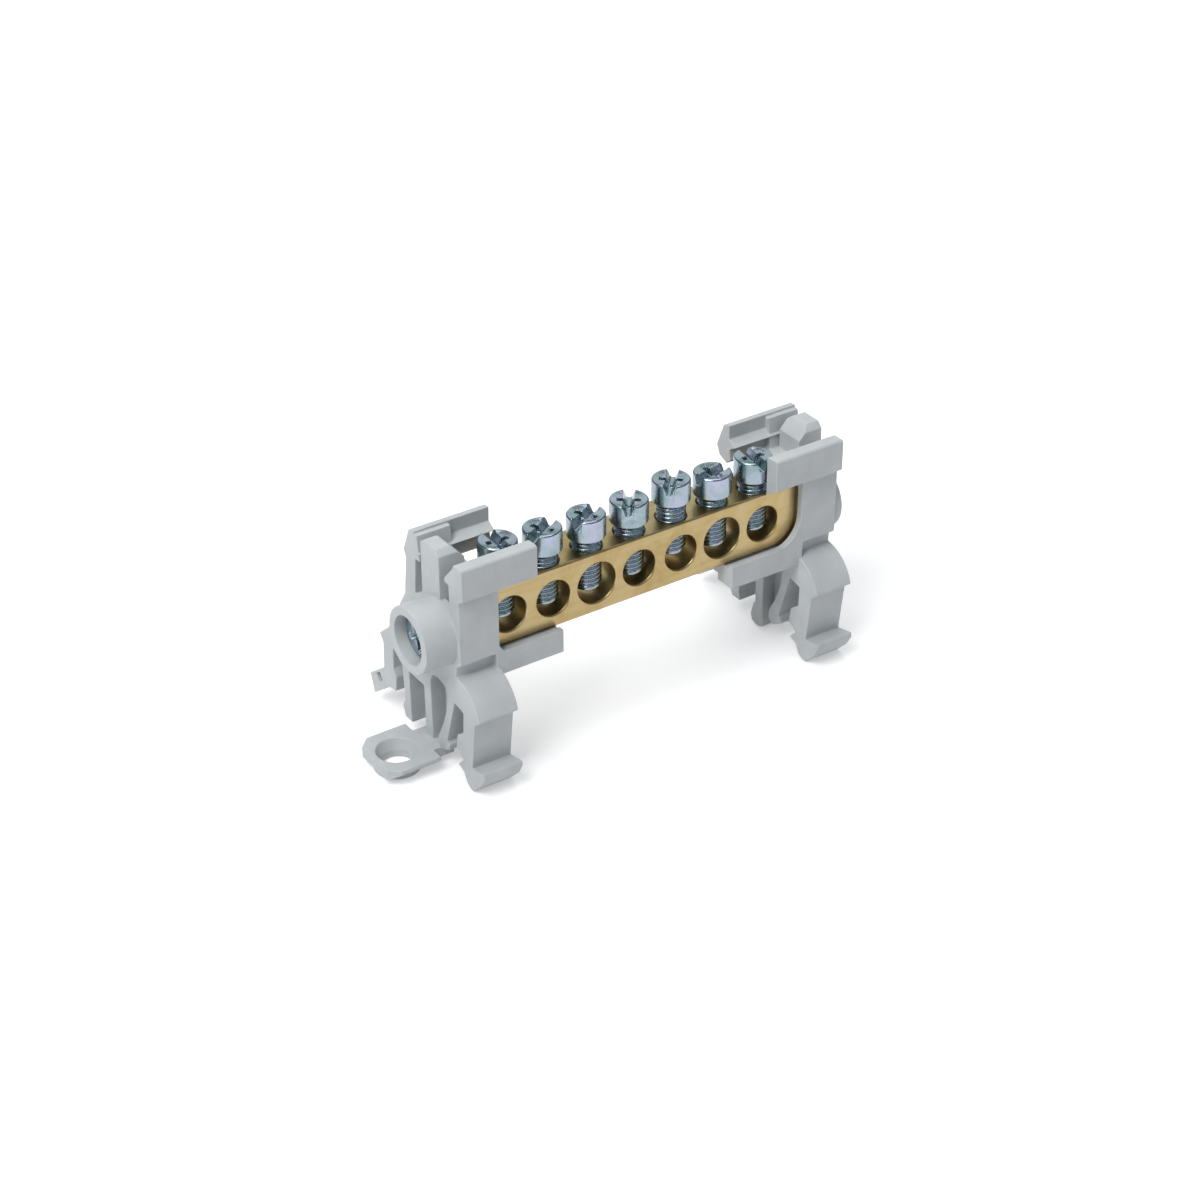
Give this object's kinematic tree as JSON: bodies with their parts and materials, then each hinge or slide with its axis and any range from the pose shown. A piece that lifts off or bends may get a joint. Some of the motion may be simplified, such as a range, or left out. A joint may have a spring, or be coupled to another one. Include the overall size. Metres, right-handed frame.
{
  "type": "power distribution block",
  "caption": "Brass terminal bar with slotted clamping screws over cross-drilled wire holes, held between two grey moulded rail supports, one with a screw-down lug.",
  "frame": {"origin": "middle of the rail seat, half way between the two supports, where the rail's edges lie in the hooks", "axes": "+X along the bar away from the lug, -Y the side that the wires enter, +Z away from the rail"},
  "size_m": [0.1382, 0.0576, 0.0649],
  "materials": {
    "brass": "machined bar, fine milling marks",
    "zinc_steel": "blue passivated zinc plate",
    "grey_polyamide": "light grey moulded polyamide"
  },
  "bodies": {
    "root": {"terminal_bar": "brass", "left_support": "grey_polyamide", "right_support": "grey_polyamide", "end_screw_left": "zinc_steel", "end_screw_right": "zinc_steel", "terminal_screw_1": "zinc_steel", "terminal_screw_2": "zinc_steel", "terminal_screw_3": "zinc_steel", "terminal_screw_4": "zinc_steel", "terminal_screw_5": "zinc_steel", "terminal_screw_6": "zinc_steel", "terminal_screw_7": "zinc_steel"}
  },
  "joints": []
}
